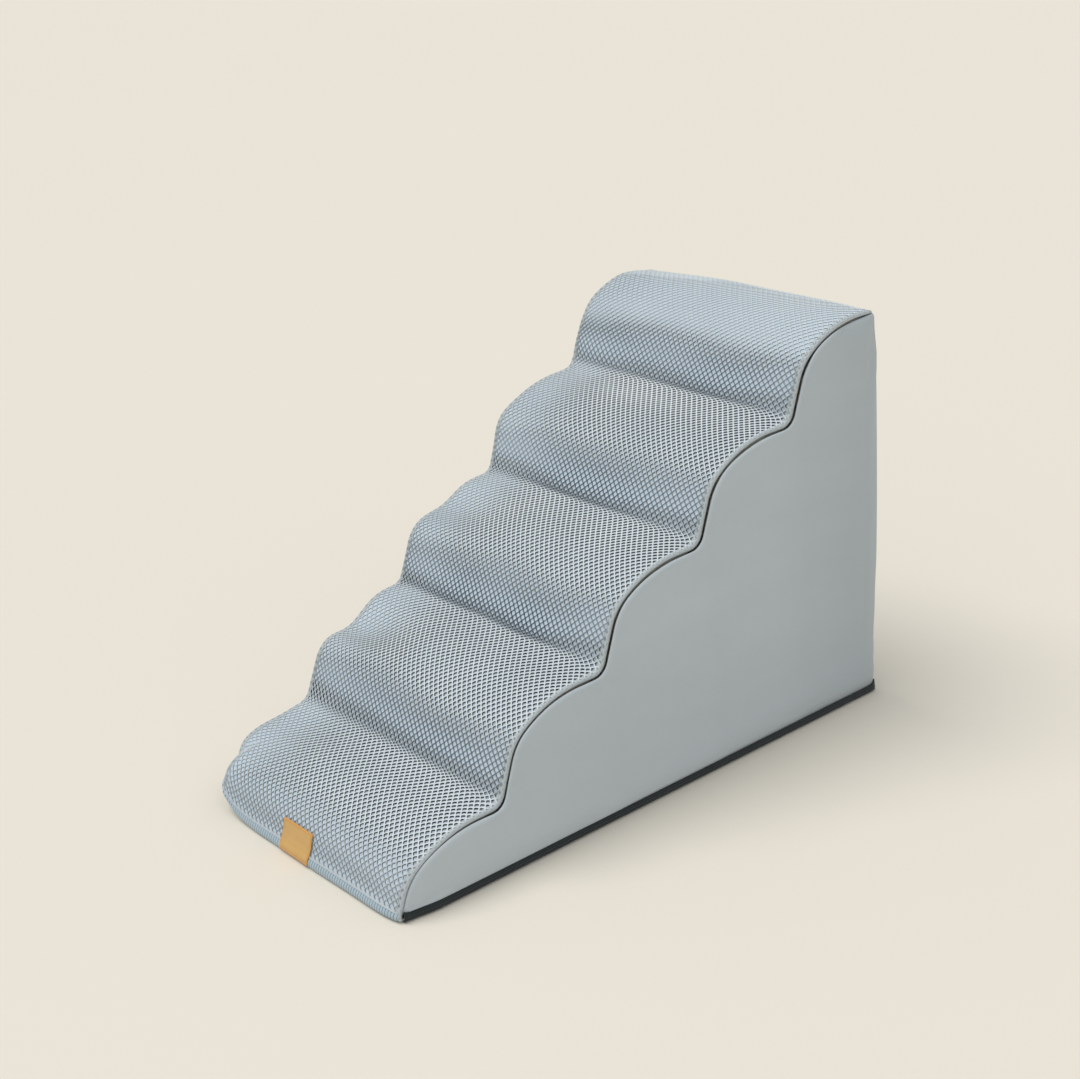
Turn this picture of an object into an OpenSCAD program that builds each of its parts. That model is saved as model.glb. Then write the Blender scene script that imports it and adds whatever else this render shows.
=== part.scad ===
// Five-step wave-shaped foam ramp for dogs, in a zip-off cover. Millimetres.
// The low end faces -Y, the steps rise towards +Y, the width runs along X.
// A side-view outline is a list of [y, z] points. Its depth d is measured
// inwards from the top of the mesh, so every layer follows the same wave.

/* [Steps] */
// Overall width
ramp_w = 400; // [340:5:460]
// Length at the floor, from the front edge to the back wall
ramp_l = 784; // [780:2:840]
// Number of steps
step_count = 5; // [5:1:5]
// Height of the first tread
first_rise = 86; // [80:1:100]
// Height from one tread to the next
step_rise = 108; // [100:1:118]
// Distance from one nose to the next
step_run = 160; // [150:1:160]
// Lean of the risers above the horizontal, in degrees
riser_lean = 71; // [66:1:76]
// Radius of the tight front of each nose
nose_r = 62; // [54:1:70]
// Radius of the long crown behind it
crown_r = 150; // [135:1:160]
// Angle at which the nose turns into the crown, in degrees
crown_start = 36; // [32:1:38]
// Radius of the hollow where a tread meets the next riser
valley_r = 17; // [14:1:20]

/* [Layers] */
// Spacer mesh over the treads
mesh_t = 4; // [3:0.5:5]
// Dark lining cloth under the mesh
lining_t = 1; // [0.6:0.2:1.4]
// Soft foam under the lining
comfort_t = 25; // [18:1:30]
// Side, back and band fabric with its backing
panel_t = 3; // [2.5:0.5:3.5]
// Non-slip base cloth
base_t = 2; // [1.5:0.5:3]
// Slack between the back panel and the foam, where the zip runs
back_slack = 3.5; // [3.5:0.5:5]

/* [Base] */
// Height of the black band round the foot, which stands on the floor
band_h = 9; // [7:1:14]
// Radius of a grip dot
dot_r = 3; // [2:0.5:4]
// Height of a grip dot
dot_t = 0.8; // [0.5:0.1:1.2]
// Distance between grip dots
dot_pitch = 40; // [35:1:50]
// Clear margin round the grip dots
dot_margin = 22; // [18:1:30]

/* [Zip] */
// Half the distance between the two upright runs of the zip
zip_half_w = 160; // [140:1:165]
// Height of the low run of the zip
zip_low_z = 60; // [55:1:70]
// Radius of the zip's two corners
zip_corner_r = 40; // [35:1:50]
// Height of the zip's two upper ends
zip_end_z = 478; // [470:1:482]
// Travel of the slider down its upright run
zip_travel = 350; // [300:5:350]
// Gap between the fabric edges and the middle of the zip
zip_gap = 6; // [6:0.5:8]
// Outer edge of the tape from the middle of the zip
tape_edge = 15; // [13:0.5:17]
// Length of the pull tab below its hinge
tab_l = 27; // [22:1:32]

/* [Label] */
// Width of the label
label_w = 60; // [50:1:70]
// Distance of the label's middle from the ramp's middle
label_x = -5; // [-10:1:10]
// Height of the label's lower edge
label_z = 5; // [4:1:8]
// Height of the label, measured upright
label_h = 32; // [26:1:36]

/* [Hidden] */
$fn = 64;

arc_steps = 10;          // straight pieces in each arc of the wave
eps = 1;                 // overshoot of a cutter past the face it cuts

// Threads and label
thread_t = 0.7;          // how far a seam thread stands proud
thread_w = 1.2;          // width of a line of thread
fine_thread_t = 0.4;
fine_thread_w = 0.8;
label_t = 0.8;
label_inset = 2.5;       // from the label's edge to its stitching

// Heights
base_z = dot_t;                        // underside of the cover
floor_z = base_z + base_t;             // underside of the foam
top_z = first_rise + (step_count - 1) * step_rise;
panel_top = top_z - mesh_t - lining_t; // top edge of the back panels
inner_x = ramp_w / 2 - panel_t;        // inside face of the side panels
foam_y = ramp_l - panel_t - back_slack;

// Wave geometry: reach and drop go from the crown's end to the nose's start
reach = (crown_r - nose_r) * sin(crown_start) + nose_r * sin(riser_lean);
drop = crown_r - (crown_r - nose_r) * cos(crown_start) - nose_r * cos(riser_lean);
riser_len = (step_rise - drop - valley_r * (1 - cos(riser_lean))) / sin(riser_lean);
flat_len = step_run - reach - valley_r * sin(riser_lean) - riser_len * cos(riser_lean);
first_crown_y = reach + (first_rise - drop) / tan(riser_lean);

// Zip details
coil_gap = 0.6;          // from the zip's middle to a row of coil
coil_edge = 2.9;         // outer edge of a row of coil
coil_front = 2.6;        // depth of the coil's front below the back wall
coil_back = 4.2;
tape_t = 0.8;
plate_w = 8.8;           // slider
plate_l = 12;
plate_front = 1.1;       // depth of the slider's front plate
plate_t = 1.2;
back_plate_depth = 4.6;
flange_w = 0.9;
flange_t = 0.45;
neck_w = 0.6;
neck_l = 3;
post_x = 3.2;            // posts that carry the hinge bar
post_w = 0.9;
post_h = 2.2;
bar_r = 0.7;
bar_out = 1.2;           // hinge bar in front of the back wall
eye_r = 1.6;
eye_bore_r = 0.78;
eye_w = 4.6;
tab_w = 7;
tab_t = 1.2;
tab_hole_r = 1.8;
tab_neck_l = 6;
slider_gap = 2;          // parked slider below the end stop
slider_z = zip_end_z - slider_gap - plate_l;
hinge_z = slider_z + 4.5;
stop_h = 3;
stitch_offset = 8.5;     // zip topstitching from the zip's middle

// Middle of the whole ramp along Y
front_y = foot_y(-thread_t, base_z);
back_y = ramp_l + bar_out + eye_r;
origin_y = (front_y + back_y) / 2;

function along(h) = [cos(h), sin(h)];
function inward(h) = [sin(h), -cos(h)];
function tread_z(i) = first_rise + i * step_rise;
function crown_centre(i) = [first_crown_y + i * step_run, tread_z(i) - crown_r];
function nose_centre(i) = crown_centre(i) - (crown_r - nose_r) * inward(crown_start);
function valley_centre(i) = [first_crown_y + i * step_run + flat_len, tread_z(i) + valley_r];
function turn(centre, r, h1, h2) =
    [for (k = [0:arc_steps]) centre + r * inward(h1 + (h2 - h1) * k / arc_steps)];
function rest_of(list) = [for (k = [1:len(list) - 1]) list[k]];
function backwards(list) = [for (k = [len(list) - 1:-1:0]) list[k]];

// One step of the wave at depth d, from the top of its riser to the foot of the next
function step_wave(i, d) = concat(
    turn(nose_centre(i), d - nose_r, riser_lean, crown_start),
    rest_of(turn(crown_centre(i), d - crown_r, crown_start, 0)),
    i < step_count - 1 ? turn(valley_centre(i), valley_r + d, 0, riser_lean) : []);

// Where the first riser, at depth d, meets the height z
function riser_top(d) = nose_centre(0) + (d - nose_r) * inward(riser_lean);
function foot_y(d, z) = riser_top(d)[0] - (riser_top(d)[1] - z) / tan(riser_lean);

function wave(d, z, y_end) = concat(
    [[foot_y(d, z), z]],
    [for (i = [0:step_count - 1]) each step_wave(i, d)],
    [[y_end, top_z - d]]);

// Extrudes a [y, z] outline along X from x0 to x1
module across(x0, x1) {
    translate([x0, -origin_y, 0]) rotate([90, 0, 90]) linear_extrude(x1 - x0) children();
}

// Extrudes an [x, z] outline between two depths below the back wall
module on_back(front, back) {
    translate([0, ramp_l - front - origin_y, 0]) rotate([90, 0, 0])
        linear_extrude(back - front) children();
}

// A layer of the treads between the depths d1 and d2
module tread_layer(d1, d2, z, y_end, x0, x1) {
    across(x0, x1) polygon(concat(wave(d1, z, y_end), backwards(wave(d2, z, y_end))));
}

module side_panel(x0) {
    across(x0, x0 + panel_t) polygon(concat(wave(0, band_h, ramp_l), [[ramp_l, band_h]]));
}

// The panel inside the zip's U, grown outwards by o, up to the height top
module u_outline(o, top) {
    half = zip_half_w + o;
    r = zip_corner_r + o;
    low = zip_low_z - o;
    translate([-half, low + r]) square([2 * half, top - low - r]);
    translate([r - half, low]) square([2 * (half - r), r + eps]);
    for (side = [-1, 1]) translate([side * (half - r), low + r]) circle(r);
}

// A strip that follows the zip between the offsets o1 and o2
module u_strip(o1, o2, top) {
    difference() {
        u_outline(o2, top);
        u_outline(o1, top + eps);
    }
}

module seam_thread(x) {
    tread_layer(-thread_t, 0, base_z, ramp_l, x - thread_w / 2, x + thread_w / 2);
}

module foam_core() {
    d = mesh_t + lining_t + comfort_t;
    color("#e9e4d2") across(-inner_x, inner_x)
        polygon(concat(wave(d, floor_z, foam_y), [[foam_y, floor_z]]));
}

module comfort_foam() {
    d = mesh_t + lining_t;
    color("#f1ecd9") tread_layer(d, d + comfort_t, floor_z, foam_y, -inner_x, inner_x);
}

module tread_lining() {
    color("#2c3338") tread_layer(mesh_t, mesh_t + lining_t, base_z, ramp_l, -inner_x, inner_x);
}

module tread_mesh() {
    color("#b9c5c9") tread_layer(0, mesh_t, base_z, ramp_l, -inner_x, inner_x);
}

module right_side_panel() { color("#a0a6a5") side_panel(inner_x); }
module left_side_panel() { color("#a0a6a5") side_panel(-ramp_w / 2); }

module rear_surround() {
    color("#9aa1a0") on_back(0, panel_t) difference() {
        translate([-inner_x, band_h]) square([2 * inner_x, panel_top - band_h]);
        u_outline(zip_gap, panel_top + eps);
    }
}

module rear_flap() {
    color("#a0a6a5") on_back(0, panel_t) u_outline(-zip_gap, panel_top);
}

module base_panel() {
    d = mesh_t + lining_t;
    y_end = ramp_l - panel_t;
    color("#1e2628") across(-inner_x, inner_x) polygon([[foot_y(d, base_z), base_z],
        [y_end, base_z], [y_end, floor_z], [foot_y(d, floor_z), floor_z]]);
}

module base_band() {
    color("#1e2628") {
        for (x = [-ramp_w / 2, inner_x]) across(x, x + panel_t)
            polygon([[foot_y(0, 0), 0], [ramp_l, 0], [ramp_l, band_h], [foot_y(0, band_h), band_h]]);
        on_back(0, panel_t) translate([-inner_x, 0]) square([2 * inner_x, band_h]);
    }
}

module grip_dots() {
    nx = floor((inner_x - dot_margin) / dot_pitch);
    ny = floor((ramp_l / 2 - dot_margin) / dot_pitch);
    color("#2a3234") for (i = [-nx:nx], j = [-ny:ny])
        translate([i * dot_pitch, j * dot_pitch, 0]) cylinder(h = dot_t, r = dot_r);
}

module zip_tape_inner() {
    color("#8d9493") on_back(panel_t, panel_t + tape_t) u_strip(-tape_edge, -coil_edge, panel_top);
}

module zip_tape_outer() {
    color("#8d9493") on_back(panel_t, panel_t + tape_t) u_strip(coil_edge, tape_edge, panel_top);
}

module zip_coil_inner() {
    color("#7d8483") on_back(coil_front, coil_back) u_strip(-coil_edge, -coil_gap, zip_end_z);
}

module zip_coil_outer() {
    color("#7d8483") on_back(coil_front, coil_back) u_strip(coil_gap, coil_edge, zip_end_z);
}

module zip_end_stops() {
    color("#5d6365") for (side = [-1, 1]) on_back(coil_front - 0.2, coil_back + 0.2)
        translate([side * zip_half_w - coil_edge + 0.1, zip_end_z])
            square([2 * coil_edge - 0.2, stop_h]);
}

// Outline of a slider plate: a shield, wider at its upper end
module plate_outline() {
    half = plate_w / 2;
    polygon([[-half + 0.9, 0], [half - 0.9, 0], [half, 2.5], [half, plate_l - 2],
        [half - 1.5, plate_l], [-half + 1.5, plate_l], [-half, plate_l - 2], [-half, 2.5]]);
}

module zip_slider() {
    half = plate_w / 2;
    plate_back = plate_front + plate_t;
    color("#5d6365") translate([zip_half_w, 0, 0]) {
        on_back(plate_front, plate_back) translate([0, slider_z]) plate_outline();
        on_back(back_plate_depth, back_plate_depth + plate_t)
            translate([0, slider_z]) plate_outline();
        on_back(plate_back, back_plate_depth)
            translate([-neck_w / 2, slider_z + plate_l - neck_l]) square([neck_w, neck_l]);
        for (side = [-1, 1]) {
            x = side * (half - flange_w / 2) - flange_w / 2;
            on_back(plate_back, plate_back + flange_t)
                translate([x, slider_z + 2.5]) square([flange_w, plate_l - 4.5]);
            on_back(back_plate_depth - flange_t, back_plate_depth)
                translate([x, slider_z + 2.5]) square([flange_w, plate_l - 4.5]);
            on_back(-bar_out, plate_front)
                translate([side * post_x - post_w / 2, hinge_z - post_h / 2])
                    square([post_w, post_h]);
        }
        translate([-post_x - post_w / 2, ramp_l + bar_out - origin_y, hinge_z])
            rotate([0, 90, 0]) cylinder(h = 2 * post_x + post_w, r = bar_r);
    }
}

module zip_pull_tab() {
    color("#4f5557") translate([zip_half_w, ramp_l + bar_out - origin_y, hinge_z])
        difference() {
            union() {
                translate([-eye_w / 2, 0, 0]) rotate([0, 90, 0]) cylinder(h = eye_w, r = eye_r);
                translate([-eye_w / 2, -tab_t / 2, -tab_neck_l - eps])
                    cube([eye_w, tab_t, tab_neck_l + eps]);
                translate([-tab_w / 2, -tab_t / 2, -tab_l + tab_w / 2])
                    cube([tab_w, tab_t, tab_l - tab_w / 2 - tab_neck_l]);
                translate([0, tab_t / 2, -tab_l + tab_w / 2]) rotate([90, 0, 0])
                    cylinder(h = tab_t, r = tab_w / 2);
            }
            translate([-eye_w, 0, 0]) rotate([0, 90, 0]) cylinder(h = 2 * eye_w, r = eye_bore_r);
            translate([0, tab_t, -tab_l + tab_w / 2]) rotate([90, 0, 0])
                cylinder(h = 2 * tab_t, r = tab_hole_r);
        }
}

module zip_topstitching() {
    half = fine_thread_w / 2;
    color("#7f8685") on_back(-fine_thread_t, 0) for (o = [-stitch_offset, stitch_offset])
        u_strip(o - half, o + half, panel_top - thread_w);
}

// A piece lying on the first riser, between two depths, cut to the label's outline
module on_riser(d1, d2, inset) {
    intersection() {
        tread_layer(d1, d2, base_z, ramp_l, label_x - label_w / 2 + inset,
            label_x + label_w / 2 - inset);
        translate([-ramp_w, -ramp_l, label_z + inset])
            cube([2 * ramp_w, ramp_l, label_h - 2 * inset]);
    }
}

module front_label() { color("#d9a765") on_riser(-label_t, 0, 0); }

module label_stitching() {
    color("#e8912f") difference() {
        on_riser(-label_t - fine_thread_t, -label_t, label_inset);
        on_riser(-label_t - 2 * fine_thread_t, eps, label_inset + fine_thread_w);
    }
}

module right_seam_thread() { color("#8b9291") seam_thread(inner_x); }
module left_seam_thread() { color("#8b9291") seam_thread(-inner_x); }

module rear_seam_thread() {
    low = band_h + thread_w;
    color("#8b9291") on_back(-thread_t, 0) {
        for (side = [-1, 1]) translate([side * inner_x - thread_w / 2, low])
            square([thread_w, panel_top - low]);
        translate([-inner_x, panel_top - thread_w]) square([2 * inner_x, thread_w]);
    }
}

module base_seam_thread() {
    low = band_h - thread_w / 2;
    high = band_h + thread_w / 2;
    color("#2a3234") {
        for (x = [-ramp_w / 2 - fine_thread_t, ramp_w / 2]) across(x, x + fine_thread_t)
            polygon([[foot_y(0, low), low], [ramp_l, low], [ramp_l, high], [foot_y(0, high), high]]);
        on_back(-fine_thread_t, 0) translate([-ramp_w / 2, low]) square([ramp_w, thread_w]);
    }
}

foam_core();
comfort_foam();
tread_lining();
tread_mesh();
right_side_panel();
left_side_panel();
rear_surround();
rear_flap();
base_panel();
base_band();
grip_dots();
zip_tape_inner();
zip_tape_outer();
zip_coil_inner();
zip_coil_outer();
zip_end_stops();
zip_slider();
zip_pull_tab();
zip_topstitching();
front_label();
label_stitching();
right_seam_thread();
left_seam_thread();
rear_seam_thread();
base_seam_thread();
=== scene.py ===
import math

import bmesh
import bpy
from mathutils import Matrix, Vector, noise


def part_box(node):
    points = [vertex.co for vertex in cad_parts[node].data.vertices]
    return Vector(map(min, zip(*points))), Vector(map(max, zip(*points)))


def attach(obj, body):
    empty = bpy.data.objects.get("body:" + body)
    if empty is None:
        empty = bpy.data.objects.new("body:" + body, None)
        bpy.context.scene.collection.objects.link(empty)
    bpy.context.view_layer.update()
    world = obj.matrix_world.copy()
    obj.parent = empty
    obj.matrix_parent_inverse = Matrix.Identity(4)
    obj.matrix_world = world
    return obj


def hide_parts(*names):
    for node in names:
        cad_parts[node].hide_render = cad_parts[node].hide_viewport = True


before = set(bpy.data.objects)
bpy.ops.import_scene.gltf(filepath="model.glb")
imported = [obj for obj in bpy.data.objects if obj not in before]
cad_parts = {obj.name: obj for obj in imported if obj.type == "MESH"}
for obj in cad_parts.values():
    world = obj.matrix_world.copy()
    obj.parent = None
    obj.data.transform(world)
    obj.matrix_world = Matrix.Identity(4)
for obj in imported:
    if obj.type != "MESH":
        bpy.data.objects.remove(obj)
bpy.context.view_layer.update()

# ---- Sizes, in metres -------------------------------------------------------------------------

# The wave of the treads, as the frame has it
STEPS = 5
FIRST_RISE, RISE, RUN = 0.086, 0.108, 0.160
LEAN, CROWN_START = math.radians(71), math.radians(36)
NOSE_R, CROWN_R, VALLEY_R = 0.062, 0.150, 0.017

HALF_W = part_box("right_side_panel")[1].x
REAR_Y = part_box("right_side_panel")[1].y
FRONT_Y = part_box("base_band")[0].y
BAND_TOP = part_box("base_band")[1].z
MESH_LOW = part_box("base_panel")[0].z
TOP_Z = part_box("tread_mesh")[1].z

ROUND = 0.010            # radius of the soft long edges
FRONT_R = 0.006          # radius where the mesh turns under at the front
TURN_UNDER = 0.020
WRAP = 0.016             # side panels carried round onto the back
TUCK, TUCK_W = 0.0016, 0.005     # depth and width of the dip at a seam
CORE_DEPTH, CORE_LOW, CORE_BOTTOM = 0.032, 0.012, 0.004
FOAM_T, CLOTH_T, LINING_T, HEM_T, LABEL_T = 0.012, 0.0012, 0.0006, 0.0008, 0.0005

# Crown of the treads: across their width, more on the top step, and over the foot as
# (height, place along the mesh, width)
PUFF, TOP_PUFF, UNEVEN_PUFF = 0.0025, 0.0025, 0.0013
FOOT_PUFFS = ((0.0035, 0.075, 0.025), (0.0048, TURN_UNDER + 0.004, 0.011))
BRIDGE, BRIDGE_W = 0.0075, 0.029     # the mesh bridges the hollows

# Spacer mesh: a face net over a back layer of pads
CELL_X, CELL_S = 0.00915, 0.00915
HOLE_TIP, HOLE_SIDE, HOLE_WIDEN = 0.00315, 0.00248, 0.23
PAD_TIP, PAD_SIDE, PAD_WIDEN = 0.00264, 0.00210, 0.42
RIM_DROP, PAD_SINK = 0.0010, 0.0016
BACK_DEPTH, LINING_DEPTH, FOAM_DEPTH = 0.0014, 0.0046, 0.0068
NET_SHARE = 0.55         # of the face net's area that is strands
NET_EDGE = 0.0006        # between the net and the seam
HEM_W, HEM_TUCK = 0.0102, 0.0050

# Lower edge of the side panels
TIP_R, REAR_LIFT, REAR_LIFT_W = 0.013, 0.0045, 0.008

# Zip on the back wall
ZIP_HALF = (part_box("zip_coil_outer")[1].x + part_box("zip_coil_inner")[1].x) / 2
ZIP_LOW, ZIP_CORNER, ZIP_GAP = 0.060, 0.040, 0.006
TAPE_START, TAPE_EDGE = 0.0026, 0.015
ZIP_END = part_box("zip_coil_outer")[1].z
TAPE_T, TAPE_DEPTH, COIL_DEPTH = 0.0006, 0.0030, 0.0034
TOOTH, TOOTH_PITCH, TOOTH_OUT = (0.00165, 0.0008, 0.00052), 0.0024, 0.0014
TOPSTITCH = 0.0085

# Stitches: half length, half width, half height, and the pitch of a row
SEAM_STITCH, SEAM_PITCH = (0.00115, 0.00036, 0.00036), 0.0034
ZIP_STITCH, ZIP_PITCH = (0.0012, 0.00034, 0.00034), 0.0036
BASE_STITCH, BASE_PITCH = (0.0012, 0.00035, 0.00035), 0.0036
LABEL_STITCH, LABEL_PITCH = (0.0008, 0.00024, 0.00024), 0.0022

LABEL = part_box("front_label")
LABEL_BORDER = 0.0022
DOT_R, DOT_T, DOT_PITCH = 0.003, 0.0008, 0.040
BASE_INSET = 0.0025
MIDDLE = Vector((0, 0.15, 0.12))     # a point inside the body

# How far the soft body has settled away from its pattern. A range says where a change starts
# and over what distance it comes in.
CORNER_R = 0.037         # front left corner, in plan
CORNER_LIFT, LIFT_REACH, LIFT_TOP = 0.041, 0.045, 0.075
CORNER_UNDERCUT, UNDERCUT_TOP = 0.014, 0.07
CORNER_WRAP, WRAP_ENDS = 0.48, (0.02, 0.085)     # mesh carried round the corner, by height
CORNER_SQUARE = (0.11, 0.05)     # heights where the corner turns square
# Left edge of the treads: place along Y, how wide, and how far it moves along Y and Z
LEFT_EDGE = ((-0.338, 0.020, 0.003, -0.003), (-0.290, 0.040, 0.000, -0.007),
             (-0.205, 0.025, 0.004, 0.000), (-0.166, 0.034, 0.000, -0.021),
             (-0.004, 0.032, 0.000, -0.013), (0.112, 0.022, -0.006, 0.000),
             (0.195, 0.040, 0.000, -0.001), (0.245, 0.014, -0.004, 0.008),
             (0.285, 0.026, -0.009, 0.002), (0.320, 0.028, 0.000, 0.005),
             (0.385, 0.028, 0.000, -0.006))
LEFT_REACH, LEFT_RISE = (0.02, 0.16), (0.03, 0.06)
# Rear corners: height, how far they stand out
REAR_FULL = ((0.000, -0.001), (0.011, -0.002), (0.040, 0.000), (0.070, 0.003), (0.120, 0.006),
             (0.200, 0.009), (0.270, 0.010), (0.450, 0.010), (0.500, 0.006), (0.530, 0.003))
REAR_REACH, REAR_EDGE, REAR_FOOT = (-0.06, 0.055), (0.177, 0.018), (-0.050, 0.035)
REAR_SWELL, SWELL_EDGE, SWELL_FULL = 0.0025, (0.185, 0.012), 0.010     # sideways
# The sides stand out at the floor
FOOT_SPREAD, SPREAD_TOP, SPREAD_START, SPREAD_SIDE = 0.0055, 0.10, (0.005, 0.05), (0.14, 0.06)


def along(h):
    return Vector((math.cos(h), math.sin(h)))


def inward(h):
    return Vector((math.sin(h), -math.cos(h)))


def ease(t):
    t = min(max(t, 0.0), 1.0)
    return t * t * (3 - 2 * t)


def rise(value, start, distance):
    """0 up to start, then smoothly up to 1 over the distance."""
    return ease((value - start) / distance)


def bell(value, middle, width):
    return math.exp(-(((value - middle) / width) ** 2))


def step_through(table, at):
    """Reads a table of (place, value) with smooth steps between its rows."""
    for (x0, v0), (x1, v1) in zip(table, table[1:]):
        if at <= x1:
            return v0 + (v1 - v0) * rise(at, x0, x1 - x0)
    return table[-1][1]


def round_corner(x, y, z, front):
    """Rounds the front left corner in plan and carries the mesh well round it, low down."""
    dx, dy = CORNER_R - (HALF_W + x), CORNER_R - (y - front)
    if dx <= 0 or dy <= 0:
        return x, y
    size, turn = max(dx, dy), math.atan2(dx, dy)
    size -= CORNER_UNDERCUT * max(0.0, 1 - z / UNDERCUT_TOP) * math.sin(2 * turn)
    low = 1 - rise(z, *WRAP_ENDS)
    turn += CORNER_WRAP * low * math.sin(2 * turn) * ease(size / CORNER_R)
    rounded = 1 - rise(z, *CORNER_SQUARE)
    return x + (dx - size * math.sin(turn)) * rounded, y + (dy - size * math.cos(turn)) * rounded


def settle_left_edge(x, y, z):
    """Moves the tired left edge of the treads."""
    reach = rise(-x, *LEFT_REACH) * rise(z, *LEFT_RISE)
    move_y = move_z = 0.0
    for place, width, along_y, along_z in LEFT_EDGE:
        share = bell(y, place, width) * reach
        move_y += along_y * share
        move_z += along_z * share
    return y + move_y, z + move_z


def settle(p):
    """Where a point of the pattern ends up: a round front left corner with the mesh carried well
    round it, a tired left edge, full rear corners, sides that spread at the floor."""
    x, y, z = p
    front = FRONT_Y + max(z, 0.0) / math.tan(LEAN)
    x, y = round_corner(x, y, z, front)
    near = bell(math.hypot(HALF_W + x, y - front), 0.0, LIFT_REACH)
    z += CORNER_LIFT * near * max(0.0, 1 - z / LIFT_TOP) ** 2
    y, z = settle_left_edge(x, y, z)
    spread = FOOT_SPREAD * (1 - ease(z / SPREAD_TOP)) * rise(y - front, *SPREAD_START)
    x += math.copysign(spread * rise(abs(x), *SPREAD_SIDE), x)
    full = step_through(REAR_FULL, z) * rise(y - REAR_Y, *REAR_REACH)
    y += full * max(rise(abs(x), *REAR_EDGE), rise(-z, *REAR_FOOT))
    if full > 0:
        x += math.copysign(REAR_SWELL * full / SWELL_FULL * rise(abs(x), *SWELL_EDGE), x)
    return Vector((x, y, z))


class Wave:
    """Side view of the treads in (y, z): straight runs and arcs laid end to end, s along the mesh."""

    def __init__(self, y, z, heading):
        self.at, self.heading, self.length = Vector((y, z)), heading, 0.0
        self.pieces, self.lengths = [], []

    def add(self, length, radius=0.0):
        """A straight run, or an arc: a positive radius bends over a nose, a negative into a hollow."""
        self.pieces.append((self.length, self.at, self.heading, radius))
        self.lengths.append(length)
        self.length += length
        self.at = self.point(self.length, 0.0)
        self.heading -= length / radius if radius else 0.0

    def point(self, s, depth):
        start_s, start, h, radius = self.pieces[0]
        for piece in self.pieces:
            if piece[0] <= s:
                start_s, start, h, radius = piece
        if not radius:
            return start + along(h) * (s - start_s) + inward(h) * depth
        now = h - (s - start_s) / radius
        return start + inward(h) * radius - inward(now) * (radius - depth)

    def s_at_height(self, z, after):
        s = after
        while self.point(s, 0.0).y < z:
            s += 0.0002
        return s


def make_wave():
    reach = (CROWN_R - NOSE_R) * math.sin(CROWN_START) + NOSE_R * math.sin(LEAN)
    drop = CROWN_R - (CROWN_R - NOSE_R) * math.cos(CROWN_START) - NOSE_R * math.cos(LEAN)
    riser = (RISE - drop - VALLEY_R * (1 - math.cos(LEAN))) / math.sin(LEAN)
    flat = RUN - reach - VALLEY_R * math.sin(LEAN) - riser * math.cos(LEAN)
    turn_z = MESH_LOW + FRONT_R
    turn_y = FRONT_Y + (FRONT_R + turn_z * math.cos(LEAN)) / math.sin(LEAN)
    wave = Wave(turn_y + TURN_UNDER, MESH_LOW, math.pi)
    wave.add(TURN_UNDER)
    wave.add(FRONT_R * (math.pi - LEAN), FRONT_R)
    wave.add((FIRST_RISE - drop - wave.at.y) / math.sin(LEAN))
    for step in range(STEPS):
        wave.add(NOSE_R * (LEAN - CROWN_START), NOSE_R)
        wave.add(CROWN_R * CROWN_START, CROWN_R)
        if step < STEPS - 1:
            wave.add(flat)
            wave.add(VALLEY_R * LEAN, -VALLEY_R)
            wave.add(riser)
    wave.add(REAR_Y - wave.at.x)
    return wave


WAVE = make_wave()
HOLLOW_ARCS = [(start, length) for (start, _, _, radius), length
               in zip(WAVE.pieces, WAVE.lengths) if radius < 0]
HOLLOWS = [WAVE.point(start + length / 2, 0.0) for start, length in HOLLOW_ARCS]
RISER_FEET = [start + length * 0.6 for start, length in HOLLOW_ARCS]
SIDE_START = WAVE.s_at_height(BAND_TOP, TURN_UNDER)
NET_START = WAVE.s_at_height(0.011, TURN_UNDER)
LABEL_START = WAVE.s_at_height(LABEL[0].z, TURN_UNDER)
LABEL_W = LABEL[1].x - LABEL[0].x
LABEL_H = WAVE.s_at_height(LABEL[1].z, TURN_UNDER) - LABEL_START


def tuck_at(distance):
    return TUCK * max(0.0, 1 - distance / TUCK_W) ** 2


def puff_at(x, s):
    """How far the foam stands out of its pattern at a place on the treads."""
    full = PUFF + TOP_PUFF * rise(s, WAVE.length - 0.25, 0.1)
    foot = sum(height * bell(s, middle, width) for height, middle, width in FOOT_PUFFS)
    full += foot * rise(x, -HALF_W, 0.13)
    full += UNEVEN_PUFF * noise.noise(Vector((x * 11, s * 9, 0.4)))
    full += BRIDGE * sum(bell(s, foot_s, BRIDGE_W) for foot_s in RISER_FEET)
    across = 1 - (x / HALF_W) ** 8
    return full * across * rise(s, TURN_UNDER, 0.008) * rise(WAVE.length - s, 0.0, 0.014)


def tread_point(x, s, depth=0.0):
    """A point on the soft tread, below the top of the mesh by depth, rounded at the edges."""
    top, core = WAVE.point(s, 0.0), WAVE.point(s, ROUND)
    sharp = Vector((x, top.x, top.y))
    edge = HALF_W - ROUND
    inner = Vector((min(max(x, -edge), edge), min(core.x, REAR_Y - ROUND), core.y))
    seam = tuck_at(min(HALF_W - abs(x), REAR_Y - top.x))
    return inner + (sharp - inner).normalized() * (ROUND - depth - seam + puff_at(x, s))


def low_edge(from_front, from_corner):
    """Height of the panels' lower edge: it lifts at the front tip and at the rear corners."""
    lift = REAR_LIFT * bell(from_corner, 0.0, REAR_LIFT_W)
    if from_front < TIP_R:
        lift += TIP_R - math.sqrt(max(0.0, TIP_R ** 2 - (TIP_R - max(from_front, 0.0)) ** 2))
    return BAND_TOP + lift


# ---- Mesh helpers -----------------------------------------------------------------------------

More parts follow.
